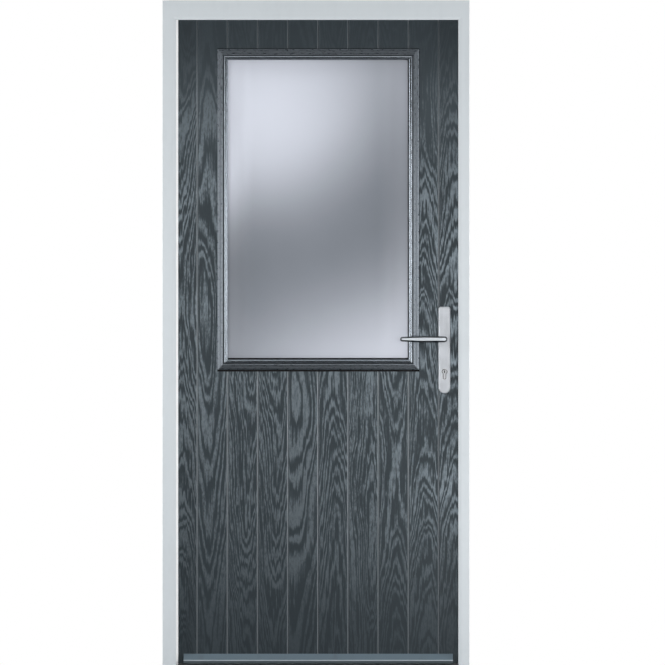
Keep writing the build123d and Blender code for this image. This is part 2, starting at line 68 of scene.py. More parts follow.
class Slot(Enum):
    """The record's material slots, passed along with the added pieces."""

    BLACK_SEAL = "black_seal"
    SATIN_STEEL = "satin_steel"
    CASSETTE = "cassette_moulding"
    FURNITURE = "satin_furniture"


class Axis(Enum):
    """The way that a grain or a brushing runs."""

    X = 0
    Y = 1
    Z = 2


class Fade(NamedTuple):
    """A smooth run from one value to another between two limits."""

    low: float
    high: float
    start: float = 0.0
    end: float = 1.0


@dataclass(frozen=True)
class Lumps:
    """A noise pattern: its lumps to the metre each way, its finer layers and how much of it is used."""

    counts: tuple[float, ...]
    detail: float = 2.0
    rough: float = 0.5
    amount: float = 1.0

    def turned(self, run: Axis) -> "Lumps":
        """The pattern with its first count along an axis and its second across it."""
        along, across = self.counts[:2]
        return replace(self, counts=tuple(along if axis is run else across for axis in Axis))


def operator(operation: str, reflected: bool = False) -> Callable[..., "Sock"]:
    """Makes a method of Sock that adds one Math node.

    Args:
        operation: the Math node's operation.
        reflected: whether the other value comes first.

    Returns:
        The method.
    """

    def method(sock: "Sock", *others: Number) -> "Sock":
        """Adds the Math node on this output and the others."""
        values = (*others, sock) if reflected else (sock, *others)
        return sock.graph.maths(operation, *values)

    return method


class Sock:
    """A node's output that can stand in Python expressions, where each operator adds a Math node."""

    __add__ = operator("ADD")
    __radd__ = operator("ADD", reflected=True)
    __sub__ = operator("SUBTRACT")
    __rsub__ = operator("SUBTRACT", reflected=True)
    __mul__ = operator("MULTIPLY")
    __rmul__ = operator("MULTIPLY", reflected=True)
    __truediv__ = operator("DIVIDE")
    __rtruediv__ = operator("DIVIDE", reflected=True)
    __gt__ = operator("GREATER_THAN")
    __lt__ = operator("LESS_THAN")
    __abs__ = operator("ABSOLUTE")
    floor = operator("FLOOR")
    sin = operator("SINE")
    root = operator("SQRT")
    exp = operator("EXPONENT")
    sign = operator("SIGN")
    larger = operator("MAXIMUM")
    smaller = operator("MINIMUM")

    def __init__(self, graph: "Graph", socket: bpy.types.NodeSocket | None) -> None:
        """Keeps the output and the graph it belongs to."""
        self.graph = graph
        self.socket = socket

    def ramp(self, low: float, high: float, start: float = 0.0, end: float = 1.0) -> "Sock":
        """Runs smoothly from one value to another between two limits.

        Args:
            low: where the run starts.
            high: where it ends.
            start: the value up to low.
            end: the value from high on.

        Returns:
            The eased value.
        """
        return self.graph.node(
            "ShaderNodeMapRange",
            {"interpolation_type": "SMOOTHSTEP"},
            {"Value": self, "From Min": low, "From Max": high, "To Min": start, "To Max": end},
        )


class Graph:
    """One node tree, with short ways to add nodes to it."""

    def __init__(self, tree: bpy.types.NodeTree) -> None:
        """Starts an empty tree."""
        self.tree = tree
        tree.nodes.clear()

    def node(
        self,
        kind: str,
        settings: Mapping[str, Any] | None = None,
        inputs: Mapping[str | int, Any] | None = None,
        out: str | int = 0,
    ) -> Sock:
        """Adds one node.

        Args:
            kind: the node's type.
            settings: its properties, set before the sockets.
            inputs: values or links of its sockets, by name or number.
            out: the output to return.

        Returns:
            The chosen output, or an empty one for a node that ends the tree.
        """
        made = self.tree.nodes.new(kind)
        for name, value in (settings or {}).items():
            setattr(made, name, value)
        for name, value in (inputs or {}).items():
            if isinstance(value, Sock):
                self.tree.links.new(value.socket, made.inputs[name])
            else:
                made.inputs[name].default_value = value
        return Sock(self, made.outputs[out] if made.outputs else None)

    def maths(self, operation: str, *values: Number) -> Sock:
        """Adds a Math node on the values."""
        return self.node("ShaderNodeMath", {"operation": operation}, dict(enumerate(values)))

    def mix(self, share: Number, first: Any, second: Any) -> Sock:
        """Mixes two colours.

        Args:
            share: how much of the second shows, 0 to 1.
            first: a colour or a colour output.
            second: the same.

        Returns:
            The mixed colour.
        """
        chosen = {MIX_SHARE: share, MIX_FIRST: self._rgba(first), MIX_SECOND: self._rgba(second)}
        return self.node("ShaderNodeMix", {"data_type": "RGBA"}, chosen, out=MIX_OUT)

    @staticmethod
    def _rgba(colour: Any) -> Any:
        """A colour with its alpha, or an output as it is."""
        return colour if isinstance(colour, Sock) else (*colour, 1.0)

    def place(self) -> tuple[Sock, Sock, Sock]:
        """The point on the object, in metres in the shared frame, as three outputs."""
        return self.split(self.node("ShaderNodeTexCoord", out="Object"))

    def split(self, vector: Sock) -> tuple[Sock, Sock, Sock]:
        """A vector's or colour's three parts."""
        parts = self.node("ShaderNodeSeparateXYZ", inputs={0: vector}).socket.node.outputs
        return Sock(self, parts["X"]), Sock(self, parts["Y"]), Sock(self, parts["Z"])

    def noise(self, lumps: Lumps, place: Sequence[Number]) -> Sock:
        """Smooth noise about 0.

        Args:
            lumps: the pattern.
            place: where it is read, as three parts.

        Returns:
            The noise, mostly between -0.5 and 0.5 times the pattern's amount.
        """
        parts = [part * count for part, count in zip(place, lumps.counts)]
        vector = self.node("ShaderNodeCombineXYZ", inputs=dict(enumerate(parts)))
        sizes = {"Vector": vector, "Scale": 1.0, "Detail": lumps.detail, "Roughness": lumps.rough}
        return (self.node("ShaderNodeTexNoise", {"normalize": True}, sizes) - 0.5) * lumps.amount

    def lots(self, number: Number) -> tuple[Sock, Sock, Sock]:
        """Three random values between 0 and 1 for each whole number."""
        settings = {"noise_dimensions": "1D"}
        return self.split(self.node("ShaderNodeTexWhiteNoise", settings, {"W": number}, out="Color"))

    def bump(self, height: Sock, depth: float, strength: float) -> Sock:
        """A normal from a height.

        Args:
            height: the relief, 0 to 1.
            depth: how deep that is, in metres.
            strength: how much of it shows.

        Returns:
            The normal.
        """
        sizes = {"Strength": strength, "Distance": depth, "Height": height}
        return self.node("ShaderNodeBump", inputs=sizes)

    def surface(self, **sockets: Any) -> None:
        """Ends a material with one Principled shader.

        Args:
            sockets: the shader's values or links, with _ for the spaces in their names.
        """
        inputs = {name.replace("_", " "): value for name, value in sockets.items()}
        for name in {"Base Color", "Specular Tint"} & set(inputs):
            inputs[name] = self._rgba(inputs[name])
        shader = self.node("ShaderNodeBsdfPrincipled", inputs=inputs)
        self.node("ShaderNodeOutputMaterial", inputs={"Surface": shader})


@dataclass(frozen=True)
class Finish(ABC):
    """A finish that makes one material."""

    name: str

    @abstractmethod
    def paint(self, graph: Graph) -> None:
        """Adds the finish's nodes to an empty graph."""

    def material(self) -> bpy.types.Material:
        """Makes the material.

        Returns:
            The finished material.
        """
        made = bpy.data.materials.new(self.name)
        made.use_nodes = True
        self.paint(Graph(made.node_tree))
        return made


@dataclass(frozen=True)
class MouldedPlanks(Finish):
    """Moulded woodgrain skin: arched grain in each plank, pale on the smooth crests and dark between."""

    mid_x: float
    pitch: float
    mid_y: float
    ground: Colour = (0.0135, 0.021, 0.027)
    crest: Colour = (0.172, 0.205, 0.229)
    # Colour of the worn groove walls, also a painted highlight on the walls that face right.
    wear_and_highlight: Colour = (0.19, 0.212, 0.23)
    tint: Colour = (0.85, 0.95, 1.0)
    planks: int = 10
    inner_seed: float = 31.0
    # The groove's reach from the joint, its wall before and past the lip, and the grain left in it.
    groove: float = 3 * MM
    groove_wall: Pair = (0.4 * MM, 0.2 * MM)
    groove_floor: float = 0.35
    relief: Pair = (0.4 * MM, 0.25)
    # The arches: ring width, its least share and spread by plank, slopes, blunt tips, flare and place.
    ring: float = 9.5 * MM
    ring_counts: Pair = (0.75, 0.95)
    slopes: Pair = (0.06, 0.09)
    blunt: Pair = (0.0007, 0.02)
    flare: float = 0.78
    sideways: float = 55 * MM
    tallest: float = 2.1
    # What moves the rings, then what varies their tone.
    wander: Lumps = Lumps((1.7, 7.3, 1.0), 1.0, amount=0.045)
    wander_seed: float = 1.5
    bend: Lumps = Lumps((10.0, 3.1, 1.9), amount=0.05)
    bunch: Lumps = Lumps((48.0, 5.7, 0.7), 1.0, amount=0.034)
    fray: Lumps = Lumps((95.0, 1.7, 26.0), amount=0.005)
    fibre: Lumps = Lumps((170.0, 1.0, 8.0), 1.0, amount=0.009)
    patch: Lumps = Lumps((13.0, 2.3, 3.2), 1.0, amount=1.4)
    strong: Lumps = Lumps((17.0, 6.1, 4.5), 1.0, amount=1.1)
    mottle: Lumps = Lumps((210.0, 4.1, 70.0), 3.0, 0.6, 2.1)
    speck: Lumps = Lumps((430.0, 1.0, 120.0), 3.0, 0.65)
    speck_seed: float = 2.0
    # Fades of the tone, some of them by height as painted shade, and the wear of the groove's walls, with a
    # painted highlight.
    band: Fade = Fade(-1.0, 1.1)
    contrast: Fade = Fade(-0.1, 1.1)
    crown: Fade = Fade(1.72, 1.98, 1.0, 0.14)
    foot: Fade = Fade(0.05, 0.65, 0.15, 1.0)
    soft: Fade = Fade(1.45, 1.9, 0.0, 0.55)
    soft_tone: float = 0.4
    strength: float = 0.74
    wear: float = 0.15
    painted_wall_highlight: float = 0.85
    wear_and_highlight_crown: Fade = Fade(1.72, 1.98, 1.0, 0.312)
    wear_and_highlight_foot: Fade = Fade(0.05, 0.65, 0.66, 1.0)
    sheen: float = 0.92
    roughness: float = 0.42

    def paint(self, graph: Graph) -> None:
        """Adds the grain, its colour, its gloss and its relief.

        Args:
            graph: the material's graph.
        """
        x, y, z = graph.place()
        cell = (x - self.mid_x) / self.pitch + self.planks / 2
        plank = cell.floor() + (y > self.mid_y) * self.inner_seed
        across = (cell - cell.floor() - 0.5) * self.pitch
        spot = (x, plank, z)
        band = (self._wave(graph, spot, across) + graph.noise(self.patch, spot)).ramp(*self.band)
        speck = graph.noise(self.speck, (x, self.speck_seed, z))
        lip, (wall, past) = self.pitch / 2 - self.groove, self.groove_wall
        flat = abs(across).ramp(lip - wall, lip, 1.0, self.groove_floor)
        crown, foot, soft = z.ramp(*self.crown), z.ramp(*self.foot), z.ramp(*self.soft)
        strength = self.strength + graph.noise(self.strong, spot) + graph.noise(self.mottle, spot)
        pale = ((band * strength + speck * 0.4) * flat).ramp(*self.contrast)
        # Painted shade: the crests dim toward the head and the foot and even out higher up, where less sheen
        # falls.
        pale = (pale + (self.soft_tone - pale) * soft) * crown * foot
        # Wear of the groove walls, plus a painted highlight on the walls that face right, faded toward the
        # head and the foot.
        worn = self.wear + speck * 0.6 + (across > 0.0) * self.painted_wall_highlight
        worn = worn * z.ramp(*self.wear_and_highlight_crown) * z.ramp(*self.wear_and_highlight_foot)
        worn = worn * abs(across).ramp(lip - wall, lip + past)
        graph.surface(
            Base_Color=graph.mix(worn, graph.mix(pale, self.ground, self.crest), self.wear_and_highlight),
            Metallic=pale * self.sheen,
            Roughness=self.roughness - pale * 0.12,
            Specular_Tint=self.tint,
            Normal=graph.bump(band * 0.75 + speck * 0.6, *self.relief),
        )

    def _wave(self, graph: Graph, spot: tuple[Sock, Sock, Sock], across: Sock) -> Sock:
        """The growth rings of each plank, as arches that wander and fray.

        Args:
            graph: the material's graph.
            spot: the place across the leaf, the plank's number and the height.
            across: the place across the plank, from its middle.

        Returns:
            A wave from -1 to 1 over the rings.
        """
        _, plank, z = spot
        side, lean, start = graph.lots(plank)
        lean = (lean - 0.5) * 2.0
        steep = lean.sign() * self.slopes[0] + lean * self.slopes[1]
        off = across - (side - 0.5) * self.sideways - graph.noise(self.wander, (z, plank, self.wander_seed))
        away = z - start * self.tallest
        rings = (off * off + self.blunt[0]).root() * self.flare
        rings = rings + steep * (away * away + self.blunt[1]).root()
        rings = rings + graph.noise(self.bend, spot)
        rings = rings + graph.noise(self.bunch, (rings, plank, z))
        rings = rings + graph.noise(self.fray, spot) + graph.noise(self.fibre, spot)
        fewest, spread = self.ring_counts
        return (rings * (fewest + side * spread) * (2.0 * math.pi / self.ring)).sin()


@dataclass(frozen=True)
class MouldedRails(Finish):
    """Moulded woodgrain on a picture frame: fine grain that follows each rail and turns at the mitres."""

    middle: Pair
    size: Pair
    ground: Colour = (0.011, 0.016, 0.02)
    crest: Colour = (0.036, 0.044, 0.051)
    # Near black painted shade for the quirk and the scribed line.
    recess_shade: Colour = (0.003, 0.004, 0.005)
    tint: Colour = (0.81, 0.9, 1.0)
    index: float = 2.9
    # Where the lines of the moulding lie, from its outer edge. The quirk and the scribed line are painted
    # dark as shade.
    quirk: Pair = (17.3 * MM, 22 * MM)
    scribe: Pair = (7 * MM, 10 * MM)
    scribe_shade: float = 0.55
    bead: Pair = (23 * MM, 30 * MM)
    soft: float = 0.2 * MM
    relief: Pair = (0.2 * MM, 0.5)
    roughness: float = 0.29
    wave: Lumps = Lumps((260.0, 9.0, 5.0), 3.0, 0.6)
    pore: Lumps = Lumps((700.0, 60.0, 9.0), 2.0, 0.6)
    contrast: Fade = Fade(-0.25, 0.35)

    def paint(self, graph: Graph) -> None:
        """Adds the grain, its colour, its gloss and its relief.

        Args:
            graph: the material's graph.
        """
        x, y, z = graph.place()
        to_side = abs(x - self.middle[0]) - self.size[0] / 2
        to_end = abs(z - self.middle[1]) - self.size[1] / 2
        upright = to_side > to_end
        level = 1.0 - upright
        inset = (to_side * upright + to_end * level) * -1.0
        spot = (inset * -1.0 - y, z * upright + x * level, upright)
        bead = self._between(inset, self.bead)
        # Painted shade: the quirk goes near black, and the scribed line part way.
        shade_lines = self._between(inset, self.quirk)
        shade_lines = shade_lines.larger(self._between(inset, self.scribe) * self.scribe_shade)
        wave, pore = graph.noise(self.wave, spot), graph.noise(self.pore, spot)
        pale = (wave + pore * 0.7).ramp(*self.contrast)
        graph.surface(
            Base_Color=graph.mix(shade_lines, graph.mix(pale, self.ground, self.crest), self.recess_shade),
            Roughness=self.roughness + pore * 0.2 + shade_lines * 0.6 - bead * 0.14,
            Specular_Tint=self.tint,
            IOR=self.index,
            Normal=graph.bump((wave + pore) * (1.0 - bead * 0.7), *self.relief),
        )

    def _between(self, inset: Sock, ends: Pair) -> Sock:
        """1 between two distances from the outer edge, with soft ends.

        Args:
            inset: the distance from the outer edge.
            ends: where the stretch starts and ends.

        Returns:
            The mask.
        """
        low, high = ends
        rise = inset.ramp(low - self.soft, low + self.soft)
        return rise * inset.ramp(high - self.soft, high + self.soft, 1.0, 0.0)


@dataclass(frozen=True)
class FrameFoil(Finish):
    """Satin white frame foil: faint streaks, a fine peel and a little dust low down."""

    colour: Colour = (0.6, 0.645, 0.675)
    shade: Colour = (0.54, 0.585, 0.615)
    streak: Lumps = Lumps((34.0, 34.0, 3.0), 3.0)
    dust: Lumps = Lumps((60.0, 60.0, 45.0), 3.0)
    low_dust: Fade = Fade(0.0, 0.22, 0.45, 0.0)
    peel: Lumps = Lumps((520.0, 520.0, 520.0), 1.0)
    relief: Pair = (0.1 * MM, 0.35)
    contrast: Fade = Fade(-0.1, 0.75)
    roughness: float = 0.36

    def paint(self, graph: Graph) -> None:
        """Adds streaks, dust, gloss and peel.

        Args:
            graph: the material's graph.
        """
        point = graph.place()
        streak, peel = graph.noise(self.streak, point), graph.noise(self.peel, point)
        dust = graph.noise(self.dust, point) + point[Axis.Z.value].ramp(*self.low_dust)
        share = (streak * 0.9 + dust * 0.55).ramp(*self.contrast)
        graph.surface(
            Base_Color=graph.mix(share, self.colour, self.shade),
            Roughness=self.roughness + streak * 0.14 + dust * 0.08,
            Normal=graph.bump(peel, *self.relief),
        )


@dataclass(frozen=True)
class SoftStrip(Finish):
    """Seals, gaskets and fire strips: an extruded soft strip with fine lines along it."""

    colour: Colour
    shade: Colour
    roughness: float
    run: Axis = Axis.Z
    gloss: float = 0.35
    line: Lumps = Lumps((9.0, 900.0))
    bloom: Lumps = Lumps((45.0, 45.0, 45.0), 3.0)
    relief: Pair = (0.12 * MM, 0.5)
    contrast: Fade = Fade(-0.3, 0.4)

    def paint(self, graph: Graph) -> None:
        """Adds extruded lines, bloom and low gloss.

        Args:
            graph: the material's graph.
        """
        point = graph.place()
        line, bloom = graph.noise(self.line.turned(self.run), point), graph.noise(self.bloom, point)
        share = (bloom + line * 0.5).ramp(*self.contrast)
        graph.surface(
            Base_Color=graph.mix(share, self.colour, self.shade),
            Roughness=self.roughness + bloom * 0.15,
            Specular_IOR_Level=self.gloss,
            Normal=graph.bump(line, *self.relief),
        )


@dataclass(frozen=True)
class BrushedMetal(Finish):
    """Satin metal: fine brushing one way, soft handling marks and a few hairlines."""

    colour: Colour
    shade: Colour
    roughness: float
    run: Axis = Axis.Z
    marks: float = 0.08
    brush: Lumps = Lumps((30.0, 1500.0))
    hair: Lumps = Lumps((12.0, 600.0), 4.0, 0.7)
    hairline: Fade = Fade(0.12, 0.24, 0.0, 0.3)
    hand: Lumps = Lumps((26.0, 26.0, 26.0), 3.0)
    relief: Pair = (0.04 * MM, 0.5)
    contrast: Fade = Fade(-0.35, 0.55)

    def paint(self, graph: Graph) -> None:
        """Adds brushing, marks and hairlines.

        Args:
            graph: the material's graph.
        """
        point = graph.place()
        brush = graph.noise(self.brush.turned(self.run), point)
        hair = graph.noise(self.hair.turned(self.run), point).ramp(*self.hairline)
        hand = graph.noise(self.hand, point)
        tone = (brush * 0.6 + hand * 0.8 + hair).ramp(*self.contrast)
        graph.surface(
            Base_Color=self.painted_shade(graph, point, graph.mix(tone, self.colour, self.shade)),
            Metallic=1.0,
            Roughness=self.roughness + brush * 0.1 + hand * self.marks,
            Normal=graph.bump(brush, *self.relief),
        )

    def painted_shade(self, graph: Graph, point: tuple[Sock, Sock, Sock], colour: Sock) -> Sock:
        """The colour with its painted shade. Plain metal has none."""
        return colour


@dataclass(frozen=True)
class GripMetal(BrushedMetal):
    """Satin metal of a lever, with a painted dark reflection on its narrow faces."""

    # Painted dark reflection on the faces turned up, down or to an end.
    dark_reflection: Colour = (0.05, 0.053, 0.057)
    turn: Fade = Fade(0.8, 0.95, 0.85, 0.0)

    def painted_shade(self, graph: Graph, point: tuple[Sock, Sock, Sock], colour: Sock) -> Sock:
        """Paints a dark reflection on the narrow faces, which turn up, down or to an end."""
        _, out, _ = graph.split(graph.node("ShaderNodeTexCoord", out="Normal"))
        return graph.mix(abs(out).ramp(*self.turn), colour, self.dark_reflection)


@dataclass(frozen=True)
class CylinderMetal(BrushedMetal):
    """Nickel of a lock cylinder, with painted shade behind its end faces and along the edge of its outline.
    """

    low: Point = (0.0, 0.0, 0.0)
    high: Point = (0.0, 0.0, 0.0)
    web: float = 5 * MM
    edge: float = 1.9 * MM
    depth: Pair = (0.5 * MM, 1.5 * MM)
    # Near black painted shade.
    inside: Colour = (0.006, 0.006, 0.006)

    def painted_shade(self, graph: Graph, point: tuple[Sock, Sock, Sock], colour: Sock) -> Sock:
        """Paints shade into the depth between the faces, and along the outline of a round over a narrow web.

        Args:
            graph: the material's graph.
            point: the place on the object.
            colour: the brushed colour.

        Returns:
            The colour with painted shade.
        """
        x, y, z = point
        radius = (self.high[0] - self.low[0]) / 2
        aside = x - (self.low[0] + self.high[0]) / 2
        below = self.high[2] - radius - z
        past = below - below.larger(0.0).smaller(self.high[2] - self.low[2] - radius - self.web)
        to_round = (aside * aside + below * below).root() - radius
        to_web = (aside * aside + past * past).root() - self.web
        # Painted shade: a dark band along the outline's edge, and the depth between the end faces.
        outline = to_round.smaller(to_web).ramp(-self.edge, -self.edge / 2)
        near, far = self.depth
        front = y.ramp(self.low[1] + near, self.low[1] + far)
        back = y.ramp(self.high[1] - far, self.high[1] - near, 1.0, 0.0)
        return graph.mix((front * back).larger(outline), colour, self.inside)


@dataclass(frozen=True)
class TreadMetal(Finish):
    """Anodised threshold: brushed along its length, scuffed on top and dusty in the grooves."""

    top: float
    colour: Colour = (0.35, 0.38, 0.4)
    scuff: Colour = (0.55, 0.57, 0.58)
    dust: Colour = (0.16, 0.16, 0.155)
    brush: Lumps = Lumps((25.0, 1400.0, 1400.0))
    wear: Lumps = Lumps((18.0, 160.0, 0.0), 4.0, 0.65)
    grit: Lumps = Lumps((90.0, 90.0, 90.0), 4.0, 0.6)
    crown: Pair = (0.6 * MM, 0.2 * MM)
    scuffing: Fade = Fade(0.02, 0.2, 0.0, 0.7)
    dusting: Fade = Fade(0.08, 0.32, 0.0, 0.65)
    relief: Pair = (0.05 * MM, 0.5)
    sheen: float = 0.6
    roughness: float = 0.38

    def paint(self, graph: Graph) -> None:
        """Adds brushing, scuffs on the high faces and dust in the low ones.

        Args:
            graph: the material's graph.
        """
        point = graph.place()
        brush, wear = graph.noise(self.brush, point), graph.noise(self.wear, point)
        high = point[Axis.Z.value].ramp(self.top - self.crown[0], self.top - self.crown[1])
        scuffed = graph.mix((wear * high).ramp(*self.scuffing), self.colour, self.scuff)
        low = (graph.noise(self.grit, point) + (1.0 - high) * 0.1).ramp(*self.dusting)
        graph.surface(
            Base_Color=graph.mix(low, scuffed, self.dust),
            Metallic=self.sheen - low * 0.4,
            Roughness=self.roughness + brush * 0.12 + low * 0.3,
            Normal=graph.bump(brush + wear * 0.4, *self.relief),
        )


@dataclass(frozen=True)
class PaintedMetal(Finish):
    """Satin paint on an extruded bar: fine orange peel, faint dirty drips, painted shade under its nose and a
    painted highlight along it.
    """

    nose_y: float
    nose_z: Pair
    colour: Colour = (0.088, 0.13, 0.161)
    # Painted highlight along the nose.
    nose_highlight: Colour = (0.43, 0.48, 0.515)
    # Colour of the dirty drips, and of the painted shade under the nose.
    dirt_and_shade: Colour = (0.06, 0.072, 0.08)
    peel: Lumps = Lumps((420.0, 420.0, 420.0))
    drip: Lumps = Lumps((26.0, 5.0, 5.0), 4.0, 0.6)
    dirty: Fade = Fade(0.0, 0.45, 0.0, 0.5)
    nose_depth: Pair = (0.4 * MM, 1.2 * MM)
    nose_edge: float = 0.3 * MM
    underside: float = 0.8 * MM
    under_shade: float = 0.7
    relief: Pair = (0.08 * MM, 0.4)
    roughness: float = 0.42

    def paint(self, graph: Graph) -> None:
        """Adds peel, dirty drips, the painted shade under the nose and the painted highlight on it.

        Args:
            graph: the material's graph.
        """
        point = graph.place()
        _, y, z = point
        peel, drip = graph.noise(self.peel, point), graph.noise(self.drip, point)
        low, high = self.nose_z
        near, far = self.nose_depth
        # Painted highlight: a band along the nose's front.
        nose = y.ramp(self.nose_y + near, self.nose_y + far, 1.0, 0.0)
        nose = nose * z.ramp(low - self.nose_edge, low + self.nose_edge)
        nose = nose * z.ramp(high - self.nose_edge, high + self.nose_edge, 1.0, 0.0)
        # Painted shade: darker just under the nose.
        under = z.ramp(low - self.underside, low, self.under_shade, 0.0)
        painted = graph.mix((drip + peel * 0.3).ramp(*self.dirty).larger(under), self.colour, self.dirt_and_shade)
        graph.surface(
            Base_Color=graph.mix(nose * (0.8 + drip * 0.6), painted, self.nose_highlight),
            Roughness=self.roughness + peel * 0.12 + drip * 0.1,
            Normal=graph.bump(peel, *self.relief),
        )


@dataclass(frozen=True)
class EdgeTimber(Finish):
    """Timber of the leaf's edges and core, painted or raw, with straight grain along it."""

    colour: Colour
    shade: Colour
    roughness: float
    run: Axis = Axis.Z
    gloss: float = 0.4
    grain: Lumps = Lumps((6.0, 140.0), 4.0, 0.6)
    pore: Lumps = Lumps((24.0, 560.0))
    relief: Pair = (0.15 * MM, 0.5)
    contrast: Fade = Fade(-0.3, 0.35)

    def paint(self, graph: Graph) -> None:
        """Adds grain and pores.

        Args:
            graph: the material's graph.
        """
        point = graph.place()
        grain = graph.noise(self.grain.turned(self.run), point)
        pore = graph.noise(self.pore.turned(self.run), point)
        share = (grain + pore * 0.4).ramp(*self.contrast)
        graph.surface(
            Base_Color=graph.mix(share, self.colour, self.shade),
            Roughness=self.roughness + pore * 0.15,
            Specular_IOR_Level=self.gloss,
            Normal=graph.bump(grain + pore, *self.relief),
        )


@dataclass(frozen=True)
class Pool:
    """A soft round pool of painted reflected light on the glass, placed in shares of its width and height."""

    middle: Pair
    spread: Pair
    amount: float

    def tone(self, across: Sock, down: Sock) -> Sock:
        """The pool's tone.

        Args:
            across: place across the glass, 0 to 1.
            down: place down the glass, 0 to 1.

        Returns:
            The amount in the middle, fading to 0.
        """
        u = (across - self.middle[0]) / self.spread[0]
        v = (down - self.middle[1]) / self.spread[1]
        return ((u * u + v * v) * -1.0).exp() * self.amount


@dataclass(frozen=True)
class SatinGlass(Finish):
    """Etched glass with a painted reflection: a soft silver tone, fullest up on the hinge side and low on the
    lock side.
    """

    low: Pair
    high: Pair
    dim: Colour = (0.074, 0.09, 0.111)
    full: Colour = (0.766, 0.8, 0.895)
    # The painted reflection's pools of light, and the painted light and shade that the two upright rims add.
    upper: Pool = Pool((0.2, 0.24), (0.62, 0.3), 0.88)
    crown: Pool = Pool((0.35, -0.09), (1.2, 0.33), 0.57)
    lower: Pool = Pool((1.3, 1.3), (1.42, 0.53), 1.55)
    base: float = -0.09
    lock_rim: Fade = Fade(0.81, 1.0, 0.0, 0.23)
    hinge_rim: Fade = Fade(0.0, 0.15, 0.0, -0.13)
    hinge_glow: Fade = Fade(0.0, 0.15, 0.4, 0.0)
    glow_end: Fade = Fade(0.3, 0.7, 1.0, 0.0)
    tooth: Lumps = Lumps((900.0, 900.0, 900.0))
    cloud: Lumps = Lumps((5.0, 5.0, 5.0), amount=0.05)
    contrast: Fade = Fade(-0.25, 1.2)
    relief: Pair = (0.03 * MM, 0.3)
    roughness: float = 0.34
    gloss: float = 0.4
    coat: Pair = (0.15, 0.2)

    def paint(self, graph: Graph) -> None:
        """Adds the painted reflection, the etch's tooth and a clear gloss.

        Args:
            graph: the material's graph.
        """
        point = graph.place()
        x, _, z = point
        across = (x - self.low[0]) / (self.high[0] - self.low[0])
        down = (self.high[1] - z) / (self.high[1] - self.low[1])
        # Painted light and shade along the upright rims.
        rim = across.ramp(*self.lock_rim) + across.ramp(*self.hinge_rim)
        tone = rim + across.ramp(*self.hinge_glow) * down.ramp(*self.glow_end) + self.base
        # Painted reflection: soft pools of light.
        for pool in (self.upper, self.crown, self.lower):
            tone = tone + pool.tone(across, down)
        tooth = graph.noise(self.tooth, point)
        tone = (tone + graph.noise(self.cloud, point) + tooth * 0.04).ramp(*self.contrast)
        graph.surface(
            Base_Color=graph.mix(tone, self.dim, self.full),
            Roughness=self.roughness + tooth * 0.12,
            Specular_IOR_Level=self.gloss,
            Coat_Weight=self.coat[0],
            Coat_Roughness=self.coat[1],
            Normal=graph.bump(tooth, *self.relief),
        )


@dataclass
class Form:
    """Corner points and faces of a mesh in the making."""

    points: list[Vector] = field(default_factory=list)
    faces: list[tuple[int, ...]] = field(default_factory=list)

    def stamp(self, other: "Form", place: Matrix) -> None:
        """Adds a copy of another form.

        Args:
            other: the form to copy.
            place: where the copy goes.
        """
        first = len(self.points)
        self.points += [place @ point for point in other.points]
        self.faces += [tuple(first + corner for corner in face) for face in other.faces]

    def piece(
        self, name: str, body: Body, slot: Slot, material: bpy.types.Material, angle: float = 35.0
    ) -> None:
        """Makes the form a piece of the object.

        Args:
            name: the piece's name.
            body: the body it rides on.
            slot: not used.
            material: the finish.
            angle: edges flatter than this are shaded smooth, in degrees.
        """
        mesh = bpy.data.meshes.new(name)
        mesh.from_pydata(self.points, [], self.faces)
        mesh.validate()
        mesh.materials.append(material)
        mesh.shade_smooth()
        mesh.set_sharp_from_angle(angle=math.radians(angle))
        made = bpy.data.objects.new(name, mesh)
        bpy.context.scene.collection.objects.link(made)
        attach(made, body.value)
        LOG.info("made %s with %d faces", name, len(self.faces))


def lathe(profile: Sequence[Pair], segments: int = 24) -> Form:
    """Turns a profile about the local z axis.

    Args:
        profile: radius and height of each ring, from the foot to a top on the axis.
        segments: how many sides the turning has.

    Returns:
        The turned form, open at the foot.
    """
    form = Form()
    for radius, height in profile[:-1]:
        for step in range(segments):
            turn = 2 * math.pi * step / segments
            form.points.append(Vector((radius * math.cos(turn), radius * math.sin(turn), height)))
    top = len(form.points)
    form.points.append(Vector((0, 0, profile[-1][1])))
    for ring in range(len(profile) - 2):
        for step in range(segments):
            after = (step + 1) % segments
            low, high = ring * segments, (ring + 1) * segments
            form.faces.append((low + step, low + after, high + after, high + step))
    last = (len(profile) - 2) * segments
    form.faces += [(last + step, last + (step + 1) % segments, top) for step in range(segments)]
    return form


def standing(at: Vector, facing: Vector, twist: float = 0.0) -> Matrix:
    """Where a small part stands.

    Args:
        at: the point it stands on.
        facing: the way its top faces.
        twist: how far it is turned about that way, in radians.

    Returns:
        The placing matrix.
    """
    turn = facing.to_track_quat("Z", "Y").to_matrix().to_4x4()
    return Matrix.Translation(at) @ turn @ Matrix.Rotation(twist, 4, "Z")


